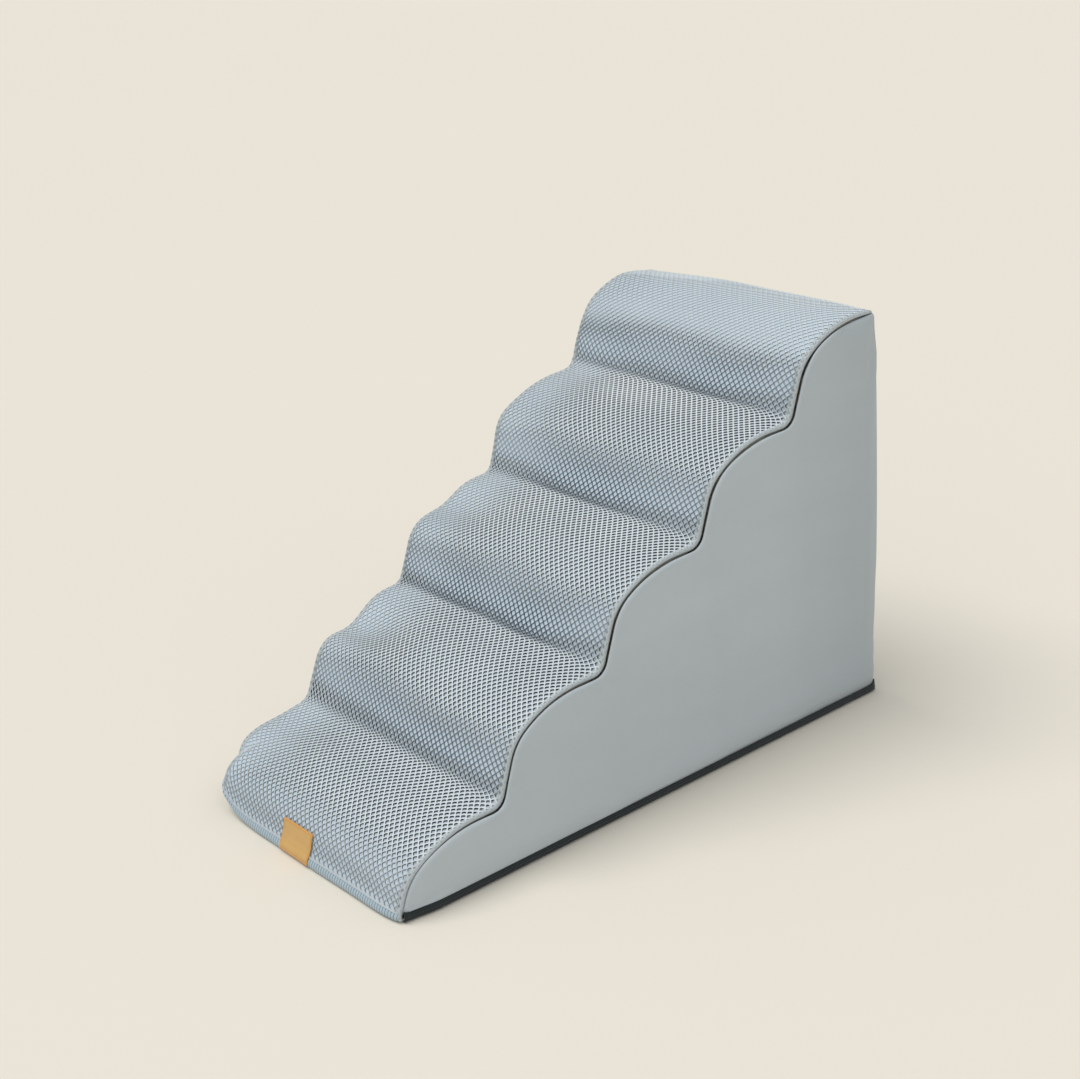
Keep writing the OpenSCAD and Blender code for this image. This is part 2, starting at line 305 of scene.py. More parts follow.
def finish_mesh(bm, name, material, centre=None, smooth=True):
    """Settles the piece, turns its faces outwards from centre, and makes the object."""
    for vert in bm.verts:
        vert.co = settle(vert.co)
    if centre is not None:
        away = sum(f.normal.dot(f.calc_center_median() - centre) * f.calc_area() for f in bm.faces)
        if away < 0:
            bmesh.ops.reverse_faces(bm, faces=bm.faces)
    for face in bm.faces:
        face.smooth = smooth
    mesh = bpy.data.meshes.new(name)
    bm.to_mesh(mesh)
    bm.free()
    piece = bpy.data.objects.new(name, mesh)
    bpy.context.scene.collection.objects.link(piece)
    mesh.materials.append(material)
    return piece


def beads(places, around, along_axis):
    """A small ball stretched and placed by each matrix, built in batches, which is quicker."""
    whole = bmesh.new()
    batch = 50
    for first in range(0, len(places), batch):
        part = bmesh.new()
        for place in places[first:first + batch]:
            bmesh.ops.create_uvsphere(part, u_segments=around, v_segments=along_axis, radius=1,
                                      matrix=place)
        mesh = bpy.data.meshes.new("batch")
        part.to_mesh(mesh)
        part.free()
        whole.from_mesh(mesh)
        bpy.data.meshes.remove(mesh)
    return whole


def cloth_sheet(name, cols, rows, place, flat, material, thick=CLOTH_T):
    """A cloth sheet: a flat grid put in place by place(u, v), with its flat size as UV map."""
    bm = bmesh.new()
    uv = bm.loops.layers.uv.new("cloth")
    bmesh.ops.create_grid(bm, x_segments=cols, y_segments=rows, size=0.5, calc_uvs=False)
    at = {v: (v.co.x + 0.5, v.co.y + 0.5) for v in bm.verts}
    for face in bm.faces:
        for loop in face.loops:
            u, v = at[loop.vert]
            loop[uv].uv = (u * flat[0], v * flat[1])
    for vert, (u, v) in at.items():
        vert.co = place(u, v)
    bmesh.ops.remove_doubles(bm, verts=bm.verts, dist=2e-5)
    bmesh.ops.dissolve_degenerate(bm, dist=1e-6, edges=bm.edges)
    bm.normal_update()
    bmesh.ops.recalc_face_normals(bm, faces=bm.faces)
    piece = finish_mesh(bm, name, material, MIDDLE)
    if thick:
        thicken(piece, thick)
    return piece


def thicken(piece, thick):
    """Gives a sheet its thickness, inwards."""
    wall = piece.modifiers.new("thickness", "SOLIDIFY")
    wall.thickness = thick
    wall.offset = -1


def wear(piece, node):
    """Puts a piece on the ramp, in place of a CAD node."""
    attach(piece, "ramp")
    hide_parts(node)


# ---- Materials --------------------------------------------------------------------------------

class Wire:
    """An output of a node tree. Arithmetic on it adds Math nodes."""

    def __init__(self, paint, socket):
        self.paint, self.socket = paint, socket

    def math(self, operation, *others):
        values = dict(enumerate((self,) + others))
        return self.paint.node("ShaderNodeMath", {"operation": operation}, values)

    def __add__(self, other):
        return self.math("ADD", other)

    def __radd__(self, other):
        return self.math("ADD", other)

    def __sub__(self, other):
        return self.math("SUBTRACT", other)

    def __rsub__(self, other):
        return self.paint.node("ShaderNodeMath", {"operation": "SUBTRACT"}, {0: other, 1: self})

    def __mul__(self, other):
        return self.math("MULTIPLY", other)

    def __rmul__(self, other):
        return self.math("MULTIPLY", other)

    def sin(self):
        return self.math("SINE")

    def abs(self):
        return self.math("ABSOLUTE")

    def fract(self):
        return self.math("FRACT")

    def clip(self):
        clamped = {"operation": "ADD", "use_clamp": True}
        return self.paint.node("ShaderNodeMath", clamped, {0: self, 1: 0.0})


class Paint:
    """A material made of nodes, with one Principled shader."""

    def __init__(self, name, **shader):
        self.material = bpy.data.materials.new(name)
        self.material.use_nodes = True
        self.tree = self.material.node_tree
        self.shader = self.tree.nodes["Principled BSDF"]
        for key, value in shader.items():
            self.shader.inputs[key.replace("_", " ")].default_value = value

    def node(self, kind, settings=None, values=None, out=0):
        """Adds a node: its settings first, then the values or wires of its sockets."""
        made = self.tree.nodes.new(kind)
        for key, value in (settings or {}).items():
            setattr(made, key, value)
        for key, value in (values or {}).items():
            if isinstance(value, Wire):
                self.tree.links.new(value.socket, made.inputs[key])
            else:
                made.inputs[key].default_value = value
        return Wire(self, made.outputs[out])

    def feed(self, name, wire):
        self.tree.links.new(wire.socket, self.shader.inputs[name])

    def place(self):
        return self.node("ShaderNodeTexCoord", out="Object")

    def cloth(self):
        return self.node("ShaderNodeUVMap", {"uv_map": "cloth"})

    def axes(self, vector):
        split = self.node("ShaderNodeSeparateXYZ", values={0: vector}).socket.node
        return [Wire(self, split.outputs[i]) for i in range(3)]

    def noise(self, vector, scale, detail=3.0, roughness=0.55):
        return self.node("ShaderNodeTexNoise", values={
            "Vector": vector, "Scale": scale, "Detail": detail, "Roughness": roughness})

    def mix(self, factor, a, b):
        """Mixes two colours, each a tuple or a wire."""
        a, b = [c if isinstance(c, Wire) else (*c, 1) for c in (a, b)]
        return self.node("ShaderNodeMix", {"data_type": "RGBA"}, {0: factor, 6: a, 7: b}, out=2)

    def bump(self, height, strength, distance):
        return self.node("ShaderNodeBump", values={
            "Height": height, "Strength": strength, "Distance": distance})


def weave(paint, threads_per_m):
    """Height of a plain weave of so many threads a metre, 0 to 1, on the flat cloth."""
    u, v, _ = paint.axes(paint.cloth())
    k = math.pi * threads_per_m
    over, across = (u * k).sin(), (v * k).sin()
    return (over * over + across * across) * 0.5


def strand_finish():
    """Pale knitted strands: bundled filaments with a slight sheen, a little uneven in tone, darkened
    by painted shade where the shade attribute says.
    """
    paint = Paint("spacer_mesh_face", Sheen_Weight=0.2, Sheen_Roughness=0.4,
                  Specular_IOR_Level=0.3)
    spot = paint.place()
    cloudy = paint.noise(spot, 7.0, 3.0)
    fibre = paint.noise(spot, 1900.0, 2.0)
    tone = (cloudy * 1.1 + fibre * 0.5 - 0.4).clip()
    # painted shade: the shade attribute darkens the strands towards a dark blue
    painted_shade = paint.node("ShaderNodeAttribute", {"attribute_name": "shade"}, out=2)
    pale = paint.mix(tone, (0.65, 0.715, 0.745), (0.86, 0.90, 0.91))
    paint.feed("Base Color", paint.mix(painted_shade, pale, (0.08, 0.11, 0.14)))
    paint.feed("Roughness", 0.48 + fibre * 0.22)
    paint.feed("Normal", paint.bump(fibre, 0.35, 0.0004))
    return paint.material


def pad_finish():
    """The mesh's back layer: bluish pads with the pile between them painted near-black as shade."""
    paint = Paint("spacer_mesh_back", Specular_IOR_Level=0.2)
    spot = paint.place()
    on_pad = paint.node("ShaderNodeAttribute", {"attribute_name": "rim"}, out=2)
    fibre = paint.noise(spot, 1700.0, 2.0)
    sharp = (on_pad * 2.6 - 1.65 + fibre * 0.15).clip()
    # painted shade: near-black between the pads, standing for the shaded gaps under the strands
    paint.feed("Base Color", paint.mix(sharp, (0.004, 0.009, 0.015), (0.60, 0.70, 0.79)))
    paint.feed("Roughness", 0.7 + fibre * 0.2)
    paint.feed("Normal", paint.bump(fibre, 0.4, 0.0004))
    return paint.material


def hem_finish():
    """Close-knit edge of the mesh, where the holes fade out towards the seam."""
    paint = Paint("spacer_mesh_edge", Sheen_Weight=0.2, Specular_IOR_Level=0.3)
    u, v, _ = paint.axes(paint.cloth())
    spot = paint.place()
    lattice = (u * (2 * math.pi / CELL_S)).sin() * (v * (2 * math.pi / CELL_X)).sin()
    fade = ((v - 0.0015) * 220.0).clip()
    fibre = paint.noise(spot, 1500.0, 2.0)
    dark = ((lattice * 2.6 - 0.3).clip() * fade).clip()
    light = paint.mix(fibre, (0.42, 0.47, 0.485), (0.56, 0.605, 0.62))
    paint.feed("Base Color", paint.mix(dark * 0.45, light, (0.05, 0.075, 0.10)))
    paint.feed("Roughness", 0.6 + fibre * 0.2)
    paint.feed("Normal", paint.bump(fibre - dark, 0.5, 0.0006))
    return paint.material


def foot_hem_finish():
    """The mesh pulled tight round the front edge: its rows stretched out into fine lines."""
    paint = Paint("spacer_mesh_foot", Sheen_Weight=0.2, Specular_IOR_Level=0.3)
    u, v, _ = paint.axes(paint.cloth())
    fibre = paint.noise(paint.place(), 1500.0, 2.0)
    line = (u * (2 * math.pi / CELL_X)).sin().abs()
    dark = (1.0 - line * 1.7).clip()
    light = paint.mix(fibre, (0.36, 0.46, 0.53), (0.48, 0.59, 0.66))
    paint.feed("Base Color", paint.mix(dark * 0.85, light, (0.04, 0.065, 0.09)))
    paint.feed("Roughness", 0.6 + fibre * 0.2)
    paint.feed("Normal", paint.bump(fibre * 0.4 - dark, 0.5, 0.0006))
    return paint.material


def lining_finish():
    paint = Paint("lining_cloth", Roughness=0.9, Specular_IOR_Level=0.2)
    threads = weave(paint, 1400)
    patch = paint.noise(paint.place(), 30.0)
    paint.feed("Base Color", paint.mix((threads * 0.7 + patch * 0.3).clip(),
                                       (0.010, 0.018, 0.028), (0.035, 0.055, 0.075)))
    paint.feed("Normal", paint.bump(threads, 0.5, 0.0003))
    return paint.material


def panel_finish():
    """Short brushed knit: a fine nap, faint marks of handling, a soft sheen, and painted shade that
    darkens it towards the rear.
    """
    paint = Paint("panel_cloth", Sheen_Weight=0.3, Sheen_Roughness=0.45,
                  Specular_IOR_Level=0.3)
    spot = paint.place()
    knit = weave(paint, 1100)
    nap = paint.noise(spot, 2600.0, 2.0, 0.6)
    brushed = paint.noise(paint.node("ShaderNodeMapping", values={
        "Vector": spot, "Scale": (1.0, 0.55, 1.6)}), 7.0, 4.0, 0.5)
    fleck = paint.noise(spot, 420.0, 3.0)
    # painted shade: the cloth darker towards the rear, along Y
    rear_shade = ((paint.axes(spot)[1] - 0.20) * 4.0).clip()
    tone = (brushed * 0.75 + fleck * 0.25 + nap * 0.12 + knit * 0.05 - rear_shade * 0.8).clip()
    paint.feed("Base Color", paint.mix(tone, (0.435, 0.482, 0.505), (0.545, 0.597, 0.622)))
    paint.feed("Roughness", 0.62 + fleck * 0.2)
    paint.feed("Normal", paint.bump(knit * 0.6 + nap * 0.4 + brushed * 0.4, 0.3, 0.0004))
    return paint.material


def base_finish():
    paint = Paint("base_cloth", Sheen_Weight=0.15, Specular_IOR_Level=0.3)
    threads = weave(paint, 650)
    patch = paint.noise(paint.place(), 60.0, 4.0)
    paint.feed("Base Color", paint.mix((threads * 0.5 + patch * 0.5).clip(),
                                       (0.006, 0.010, 0.011), (0.024, 0.034, 0.036)))
    paint.feed("Roughness", 0.6 + patch * 0.3)
    paint.feed("Normal", paint.bump(threads, 0.6, 0.0005))
    return paint.material


def rubber_finish():
    paint = Paint("grip_rubber", Specular_IOR_Level=0.4)
    skin = paint.noise(paint.place(), 900.0, 3.0)
    paint.feed("Base Color", paint.mix(skin, (0.016, 0.020, 0.022), (0.045, 0.052, 0.055)))
    paint.feed("Roughness", 0.45 + skin * 0.3)
    paint.feed("Normal", paint.bump(skin, 0.3, 0.0002))
    return paint.material


def tape_finish():
    paint = Paint("zip_tape", Sheen_Weight=0.2, Specular_IOR_Level=0.3)
    u, v, _ = paint.axes(paint.cloth())
    zigzag = ((v * 900.0).fract() - 0.5).abs()
    rib = ((u * 1400.0 + zigzag * 2.0) * math.pi).sin()
    rib = rib * rib
    paint.feed("Base Color", paint.mix(rib, (0.16, 0.175, 0.175), (0.27, 0.29, 0.288)))
    paint.feed("Roughness", 0.8 - rib * 0.1)
    paint.feed("Normal", paint.bump(rib, 0.6, 0.0003))
    return paint.material


def coil_finish():
    paint = Paint("zip_coil", Specular_IOR_Level=0.5)
    rub = paint.noise(paint.place(), 700.0, 2.0)
    paint.feed("Base Color", paint.mix(rub, (0.13, 0.145, 0.145), (0.22, 0.235, 0.235)))
    paint.feed("Roughness", 0.3 + rub * 0.2)
    return paint.material


def metal_finish():
    """Dark plated die-cast metal, rubbed brighter in places."""
    paint = Paint("zip_metal", Metallic=1.0)
    spot = paint.place()
    rub = paint.noise(spot, 260.0, 4.0)
    grain = paint.noise(paint.node("ShaderNodeMapping", values={
        "Vector": spot, "Scale": (1.0, 1.0, 12.0)}), 500.0, 2.0)
    paint.feed("Base Color", paint.mix((rub * 1.6 - 0.5).clip(), (0.13, 0.135, 0.14),
                                       (0.36, 0.36, 0.355)))
    paint.feed("Roughness", 0.24 + grain * 0.25)
    paint.feed("Normal", paint.bump(grain, 0.15, 0.0001))
    return paint.material


def thread_finish(name, colour):
    """Twisted thread: fine bands round it."""
    paint = Paint(name, Sheen_Weight=0.3, Specular_IOR_Level=0.35)
    x, y, z = paint.axes(paint.place())
    twist = ((x + y + z) * 7000.0).sin() * 0.5 + 0.5
    dark = tuple(c * 0.6 for c in colour)
    paint.feed("Base Color", paint.mix(twist, dark, colour))
    paint.feed("Roughness", 0.55 + twist * 0.15)
    paint.feed("Normal", paint.bump(twist, 0.4, 0.0002))
    return paint.material


def label_finish():
    """Woven satin label: weft ribs and a deeper border."""
    paint = Paint("label_cloth", Sheen_Weight=0.25, Specular_IOR_Level=0.35)
    u, v, _ = paint.axes(paint.cloth())
    rib = (v * (math.pi * 1800)).sin()
    rib = rib * rib
    warp = (u * (math.pi * 1100)).sin()
    warp = warp * warp
    blotch = paint.noise(paint.place(), 160.0, 3.0)
    face = paint.mix((rib * 0.5 + blotch * 0.6).clip(), (0.57, 0.322, 0.083), (0.74, 0.455, 0.15))
    half_w, half_h = 0.030, 0.017
    to_edge_u = half_w - (u - half_w).abs()
    to_edge_v = half_h - (v - half_h).abs()
    border = 1.0 - (to_edge_u.math("MINIMUM", to_edge_v) * (1 / LABEL_BORDER)).clip()
    paint.feed("Base Color", paint.mix(border, face, (0.78, 0.34, 0.05)))
    paint.feed("Roughness", 0.5 + warp * 0.15)
    paint.feed("Normal", paint.bump(rib * 0.6 + warp * 0.4, 0.5, 0.0003))
    return paint.material


def foam_finish(name, light, dark):
    paint = Paint(name, Roughness=0.95, Specular_IOR_Level=0.2)
    spot = paint.place()
    cells = paint.node("ShaderNodeTexVoronoi", values={"Vector": spot, "Scale": 900.0})
    cloudy = paint.noise(spot, 25.0, 3.0)
    paint.feed("Base Color", paint.mix((cells * 0.7 + cloudy * 0.5).clip(), dark, light))
    paint.feed("Normal", paint.bump(cells, 0.7, 0.0006))
    return paint.material


FINISH = {
    "core_foam": foam_finish("core_foam", (0.80, 0.76, 0.62), (0.58, 0.53, 0.40)),
    "soft_foam": foam_finish("soft_foam", (0.86, 0.83, 0.72), (0.66, 0.62, 0.50)),
    "lining_cloth": lining_finish(),
    "face_strand": strand_finish(),
    "back_strand": pad_finish(),
    "hem": hem_finish(),
    "foot_hem": foot_hem_finish(),
    "panel_cloth": panel_finish(),
    "base_cloth": base_finish(),
    "grip_rubber": rubber_finish(),
    "zip_tape": tape_finish(),
    "zip_coil": coil_finish(),
    "zip_metal": metal_finish(),
    "panel_thread": thread_finish("panel_thread", (0.40, 0.43, 0.43)),
    "base_thread": thread_finish("base_thread", (0.05, 0.06, 0.065)),
    "label_cloth": label_finish(),
    "label_thread": thread_finish("label_thread", (0.86, 0.42, 0.08)),
}


def dress(node, finish):
    """Gives a CAD node that stays its finish."""
    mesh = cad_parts[node].data
    mesh.materials.clear()
    mesh.materials.append(FINISH[finish])


# ---- Treads -----------------------------------------------------------------------------------

# Where the mesh's painted shade and its pad fill change: ranges of height above a riser's foot, of s,
# and of x
TONE_WANDER = 0.014
RISER_LOW, RISER_HIGH, HOLLOW_OPEN = (-0.006, 0.014), (0.030, 0.055), (0.008, 0.012)
FRONT_TONE, LEFT_TONE, TOP_TONE = (0.060, 0.050), (0.05, 0.13), (WAVE.length - 0.16, 0.05)


def tone_at(x, s):
    """How far painted shade darkens the strands, and how far the pads fill the holes while the holes
    open and the strands thin.
    """
    wander = noise.noise(Vector((x * 8, s * 9, 5.3)))
    heights = [s - foot_s + TONE_WANDER * wander for foot_s in RISER_FEET]
    riser = max(rise(up, *RISER_LOW) * (1 - rise(up, *RISER_HIGH)) for up in heights)
    # deep marks the bottom of each hollow: there the pads shrink, baring more of the painted shade
    # between them, and the strands lose some of theirs
    deep = max(bell(up, *HOLLOW_OPEN) for up in heights)
    front, left, top = 1 - rise(s, *FRONT_TONE), rise(-x, *LEFT_TONE), rise(s, *TOP_TONE)
    fill = max(riser, 0.8 * front, 0.75 * left, 0.8 * top)
    # painted shade on the strands: most on the risers, some on the first riser and the left edge
    shade = max(riser * (1 - 0.3 * left) * (0.9 + 0.35 * wander), 0.35 * front, 0.12 * left)
    return shade * (1 - 0.35 * deep), fill * (1 - 0.85 * deep)


def mesh_net(name, tip, side, widen, depth, relief, open_holes, material):
    """A net of strands on the treads, a rounded square hole in each diamond.

    tip and side are a hole's half sizes, and widen is how far it opens where the mesh is filled.
    relief is how far the edge of a hole lies below the strands' middle. With open_holes off the
    holes are closed, and the net is a sheet of pads."""
    width, length = 2 * (HALF_W - NET_EDGE), WAVE.length - NET_START
    cols, rows = round(width / CELL_X), round(length / CELL_S)
    bm = bmesh.new()
    hole = bm.verts.layers.float_vector.new("hole")
    # the shade layer holds each point's painted shade for the strands
    rim, painted_shade = [bm.verts.layers.float.new(layer) for layer in ("rim", "shade")]
    bmesh.ops.create_grid(bm, x_segments=cols, y_segments=rows, size=0.5, calc_uvs=False)
    bmesh.ops.scale(bm, vec=(width, length, 1), verts=bm.verts)
    bmesh.ops.translate(bm, vec=(0, NET_START + length / 2, 0), verts=bm.verts)
    grid_lines = [e for e in bm.edges if not e.is_boundary]
    bmesh.ops.poke(bm, faces=bm.faces)
    bmesh.ops.dissolve_edges(bm, edges=[e for e in grid_lines if e.is_valid])
    diamonds = [f for f in bm.faces if len(f.verts) == 4]
    strand = 0.0008
    bmesh.ops.inset_individual(bm, faces=diamonds, thickness=strand, use_even_offset=True)
    for face in diamonds:
        middle = face.calc_center_median()
        for vert in face.verts:
            vert[hole], vert[rim] = middle, 1.0
            vert.co = middle + (vert.co - middle).normalized() * tip
    bmesh.ops.subdivide_edges(bm, edges=list({e for f in diamonds for e in f.edges}), cuts=1)
    if open_holes:
        inside = [f for f in bm.faces if all(v[rim] > 0.9 for v in f.verts)]
        bmesh.ops.delete(bm, geom=inside, context="FACES_ONLY")
    for vert in bm.verts:
        flat, sunk = vert.co.copy(), 0.0
        vert[painted_shade], fill = tone_at(flat.x, flat.y)
        if vert[rim] > 0.5:
            spread = flat - vert[hole]
            size = tip if spread.length > tip * 0.9 else side
            flat = vert[hole] + spread.normalized() * size * (1 + widen * fill)
            sunk = relief if open_holes else relief * (1 - 1.05 * fill)
        vert.co = tread_point(flat.x, min(flat.y, WAVE.length), depth + sunk)
    bm.normal_update()
    bmesh.ops.recalc_face_normals(bm, faces=bm.faces)
    return finish_mesh(bm, name, material, MIDDLE)


def make_foam():
    """The softer foam under the mesh, and the firm core under that."""
    length, start = WAVE.length, TURN_UNDER + 0.012
    side, core_side = HALF_W - 0.003, HALF_W - ROUND
    core_start, core_length = start + 0.02, length - start - 0.034

    def foam_top(u, v):
        return tread_point((u - 0.5) * 2 * side, start + v * (length - start), FOAM_DEPTH)

    foam = cloth_sheet("comfort_foam_pad", 60, 300, foam_top, (2 * HALF_W, length),
                       FINISH["soft_foam"], thick=FOAM_T)
    wear(foam, "comfort_foam")
    bm = bmesh.new()
    bmesh.ops.create_grid(bm, x_segments=6, y_segments=260, size=0.5, calc_uvs=False)
    for vert in bm.verts:
        vert.co = tread_point(vert.co.x * 2 * core_side, core_start + (vert.co.y + 0.5) * core_length,
                              CORE_DEPTH)
        vert.co.z = max(vert.co.z, CORE_LOW)
    down = bmesh.ops.extrude_face_region(bm, geom=bm.faces[:])["geom"]
    for vert in [v for v in down if isinstance(v, bmesh.types.BMVert)]:
        vert.co.z = CORE_BOTTOM
    bmesh.ops.recalc_face_normals(bm, faces=bm.faces)
    core = finish_mesh(bm, "foam_core_block", FINISH["core_foam"], smooth=False)
    wear(core, "foam_core")
    return foam


def make_treads():
    length, net_length = WAVE.length, WAVE.length - NET_START
    foam = make_foam()

    def under_mesh(u, v):
        return tread_point((u - 0.5) * 2 * (HALF_W - 0.002), v * length, LINING_DEPTH)

    lining = cloth_sheet("tread_lining_cloth", 60, 420, under_mesh, (2 * HALF_W, length),
                         FINISH["lining_cloth"], thick=LINING_T)
    wear(lining, "tread_lining")
    back = mesh_net("tread_back_pads", PAD_TIP, PAD_SIDE, PAD_WIDEN, BACK_DEPTH, PAD_SINK, False,
                    FINISH["back_strand"])
    face = mesh_net("tread_face_net", HOLE_TIP, HOLE_SIDE, HOLE_WIDEN, 0.0, RIM_DROP, True,
                    FINISH["face_strand"])
    for net, share in ((back, 1.0), (face, NET_SHARE)):
        wear(net, "tread_mesh")
    make_mesh_hems()


def make_mesh_hems():
    """The mesh turned under at the foot, and its close-knit edge along each seam."""
    length, foot_length = WAVE.length, NET_START + 0.003

    def foot(u, v):
        under_net = 0.0015 * rise(v, 0.8, 0.2)
        return tread_point((u - 0.5) * 2 * HALF_W, v * foot_length, under_net)

    hem = cloth_sheet("front_mesh_hem", 170, 16, foot, (2 * HALF_W, foot_length),
                      FINISH["foot_hem"], thick=HEM_T)
    wear(hem, "tread_mesh")
    for name, side in (("right", 1), ("left", -1)):
        def strip(u, v, side=side):
            under_net = 0.0022 * rise(HEM_W * v, HEM_W - HEM_TUCK, 0.0025)
            return tread_point(side * (HALF_W - HEM_W * v), u * length, under_net - HEM_T)

        hem = cloth_sheet(f"{name}_mesh_hem", 420, 8, strip, (length, HEM_W),
                          FINISH["hem"], thick=HEM_T)
        wear(hem, "tread_mesh")


# ---- Side panels ------------------------------------------------------------------------------

SIDE_LENGTH = WAVE.length - SIDE_START
ROLL_ROWS, PANEL_ROWS = 8, 40
PULL, PULL_Y, PULL_Z = 0.0014, 0.011, 0.016      # dent below each hollow: depth and size


def side_point(u, v, side=1):
    """A side panel: v runs from the seam with the mesh down to the base band."""
    run = u * (SIDE_LENGTH + WRAP)
    s = SIDE_START + min(run, SIDE_LENGTH)
    past_corner = max(0.0, run - SIDE_LENGTH)
    core = WAVE.point(s, ROUND)
    tip = WAVE.point(SIDE_START, 0.0).x
    roll = ROLL_ROWS / PANEL_ROWS
    y, z = WAVE.point(s, ROUND * min(v / roll, 1.0))
    from_corner = REAR_Y - min(y, REAR_Y) + past_corner
    low = low_edge(y - tip, from_corner)
    if v > roll:
        z += (low - z) * (v - roll) / (1 - roll)
    z = max(z, low)
    seam = tuck_at(ROUND * v / roll) + tuck_at(z - low)
    seam += PULL * sum(bell(y, hollow.x, PULL_Y) * bell(z, hollow.y - PULL_Z, PULL_Z)
                       for hollow in HOLLOWS)
    sharp = Vector((HALF_W - past_corner, y, z))
    inner = Vector((min(sharp.x, HALF_W - ROUND), min(core.x if v < roll else y, REAR_Y - ROUND),
                    min(z, max(core.y, low))))
    if v > roll:
        inner.z = z
    if past_corner > 0:
        seam += tuck_at(WRAP - past_corner)
    p = inner + (sharp - inner).normalized() * (ROUND - seam)
    p.x *= side
    return p


def blown_out(piece, held, limit):
    """How far each point of the sheet moves when the foam behind presses on it, its sewn edges
    held: cloth stretched over foam."""
    mesh = piece.data
    rest = [v.co.copy() for v in mesh.vertices]
    sewn = piece.vertex_groups.new(name="sewn")
    sewn.add([v.index for v in mesh.vertices if held(v.co)], 1.0, "REPLACE")
    cloth = piece.modifiers.new("cloth", "CLOTH")
    setup = cloth.settings
    setup.vertex_group_mass = "sewn"
    setup.use_pressure = True
    setup.uniform_pressure_force = 1.5
    setup.effector_weights.gravity = 0
    setup.quality = 5
    setup.mass = 0.3
    setup.tension_stiffness = 40
    setup.compression_stiffness = 40
    setup.shear_stiffness = 20
    setup.bending_stiffness = 3
    frames = 15
    for number in range(1, frames + 1):
        bpy.context.scene.frame_set(number)
    posed = piece.evaluated_get(bpy.context.evaluated_depsgraph_get())
    moved = [v.co.copy() for v in posed.to_mesh().vertices]
    posed.to_mesh_clear()
    piece.modifiers.remove(cloth)
    bpy.context.scene.frame_set(1)
    shifts = [new - old for new, old in zip(moved, rest)]
    return [shift * min(1.0, limit / max(shift.length, 1e-9)) for shift in shifts]


def sewn_down(at):
    """Whether a point of the right panel lies in its seam with the band, the mesh or the back."""
    return at.z < BAND_TOP + 0.003 or abs(at.x) < HALF_W - 0.0045


def make_sides():
    flat = (SIDE_LENGTH + WRAP, 0.30)
    shifts = None
    for name, side in (("right", 1), ("left", -1)):
        def place(u, v, side=side):
            return side_point(u, v, side)

        panel = cloth_sheet(f"{name}_panel_cloth", 236, PANEL_ROWS, place, flat,
                            FINISH["panel_cloth"], thick=0)
        if shifts is None:
            shifts = blown_out(panel, sewn_down, 0.003)
        for vert, shift in zip(panel.data.vertices, shifts):
            vert.co += Vector((shift.x * side, shift.y, shift.z))
        thicken(panel, CLOTH_T)
        wear(panel, f"{name}_side_panel")


# ---- Back wall and zip ------------------------------------------------------------------------

def rear_point(x, z, out=0.0):
    """A point on the back wall, out metres outside it, rolled over at the top and the sides."""
    edge = HALF_W - ROUND
    sharp = Vector((x, REAR_Y, z))
    inner = Vector((min(max(x, -edge), edge), REAR_Y - ROUND, min(z, TOP_Z - ROUND)))
    seam = tuck_at(TOP_Z - z) + tuck_at(HALF_W - WRAP - abs(x))
    return inner + (sharp - inner).normalized() * (ROUND - seam + out)


def zip_point(t, offset, top):
    """(x, z) on the U of the zip, t from 0 at the right end to 1, offset away from its middle."""
    leg, arc = top - ZIP_LOW - ZIP_CORNER, ZIP_CORNER * math.pi / 2
    foot = 2 * (ZIP_HALF - ZIP_CORNER)
    run = t * (2 * leg + 2 * arc + foot)
    mirror = 1.0
    if run > leg + arc + foot / 2:
        run, mirror = 2 * leg + 2 * arc + foot - run, -1.0
    if run < leg:
        x, z = ZIP_HALF + offset, top - run
    elif run < leg + arc:
        turn = (run - leg) / ZIP_CORNER
        x = ZIP_HALF - ZIP_CORNER + (ZIP_CORNER + offset) * math.cos(turn)
        z = ZIP_LOW + ZIP_CORNER - (ZIP_CORNER + offset) * math.sin(turn)
    else:
        x, z = ZIP_HALF - ZIP_CORNER - (run - leg - arc), ZIP_LOW - offset
    return mirror * x, z


def zip_length(top):
    return 2 * (top - ZIP_LOW - ZIP_CORNER) + ZIP_CORNER * math.pi + 2 * (ZIP_HALF - ZIP_CORNER)


def zip_gap_at(z):
    """Half the opening between the cloth edges: it closes above the zip's end."""
    closed = 0.0001
    return ZIP_GAP - (ZIP_GAP - closed) * rise(z, ZIP_END + 0.003, 0.012)


def cloth_edge_dip(distance):
    """How far the cloth drops towards its edge beside the zip."""
    depth, width = 0.0012, 0.004
    return depth * max(0.0, 1 - distance / width) ** 2


def surround_point(u, v):
    """The back wall outside the zip: u runs round the U, v out to the seams."""
    x, z = zip_point(u, 0.0, TOP_Z)
    corner_x, corner_z = ZIP_HALF - ZIP_CORNER, ZIP_LOW + ZIP_CORNER
    dx, dz = max(abs(x) - corner_x, 0.0), max(corner_z - z, 0.0)
    size = max(math.hypot(dx, dz), 1e-9)
    way = Vector((dx / size, -dz / size))
    start = Vector((min(abs(x), corner_x), max(z, corner_z)))
    reach_x = (HALF_W - WRAP - start.x) / way.x if way.x > 1e-6 else math.inf
    reach_z = (start.y - BAND_TOP + 0.001) / -way.y if way.y < -1e-6 else math.inf
    near = ZIP_CORNER + zip_gap_at(z)
    far = min(reach_x, reach_z)
    at = start + way * (near + (far - near) * v)
    out = 0.0012 * math.sin(math.pi * v) - cloth_edge_dip((far - near) * v)
    out -= tuck_at(at.y - BAND_TOP)
    return rear_point(math.copysign(at.x, x), at.y, out)


